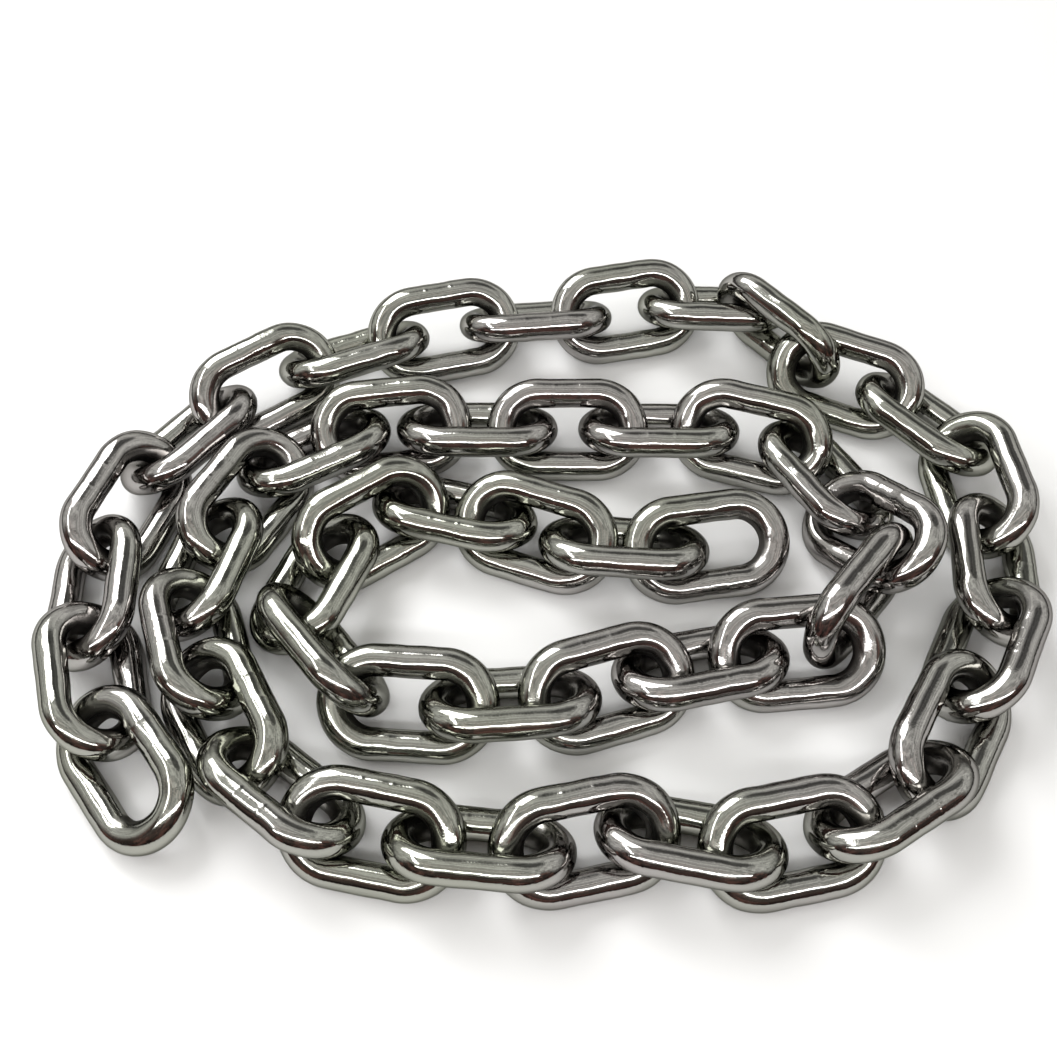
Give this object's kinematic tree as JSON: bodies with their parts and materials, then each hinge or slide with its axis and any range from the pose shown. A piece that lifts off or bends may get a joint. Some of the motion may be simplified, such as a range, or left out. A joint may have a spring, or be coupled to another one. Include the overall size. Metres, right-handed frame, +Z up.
{
  "type": "heap of anchor chain",
  "caption": "Length of polished round-bar link chain laid down as a loose flat spiral, its links leaning left and right by turns.",
  "frame": {"origin": "centre of the chain's bounding box, on the floor it lies on", "axes": "+Z up from the floor, +X along the spiral's longer side, to the right for a person who looks along +Y; the outer free end is at -X, -Y"},
  "size_m": [0.3176, 0.239, 0.0349],
  "materials": {
    "polished_steel": "mirror polished"
  },
  "bodies": {
    "root": {"link_01": "polished_steel", "link_02": "polished_steel", "link_03": "polished_steel", "link_04": "polished_steel", "link_05": "polished_steel", "link_06": "polished_steel", "link_07": "polished_steel", "link_08": "polished_steel", "link_09": "polished_steel", "link_10": "polished_steel", "link_11": "polished_steel", "link_12": "polished_steel", "link_13": "polished_steel", "link_14": "polished_steel", "link_15": "polished_steel", "link_16": "polished_steel", "link_17": "polished_steel", "link_18": "polished_steel", "link_19": "polished_steel", "link_20": "polished_steel", "link_21": "polished_steel", "link_22": "polished_steel", "link_23": "polished_steel", "link_24": "polished_steel", "link_25": "polished_steel", "link_26": "polished_steel", "link_27": "polished_steel", "link_28": "polished_steel", "link_29": "polished_steel", "link_30": "polished_steel", "link_31": "polished_steel", "link_32": "polished_steel", "link_33": "polished_steel", "link_34": "polished_steel", "link_35": "polished_steel", "link_36": "polished_steel", "link_37": "polished_steel", "link_38": "polished_steel", "link_39": "polished_steel", "link_40": "polished_steel", "link_41": "polished_steel", "link_42": "polished_steel", "link_43": "polished_steel", "link_44": "polished_steel", "link_45": "polished_steel", "link_46": "polished_steel", "link_47": "polished_steel", "link_48": "polished_steel", "link_49": "polished_steel", "link_50": "polished_steel"}
  },
  "joints": []
}
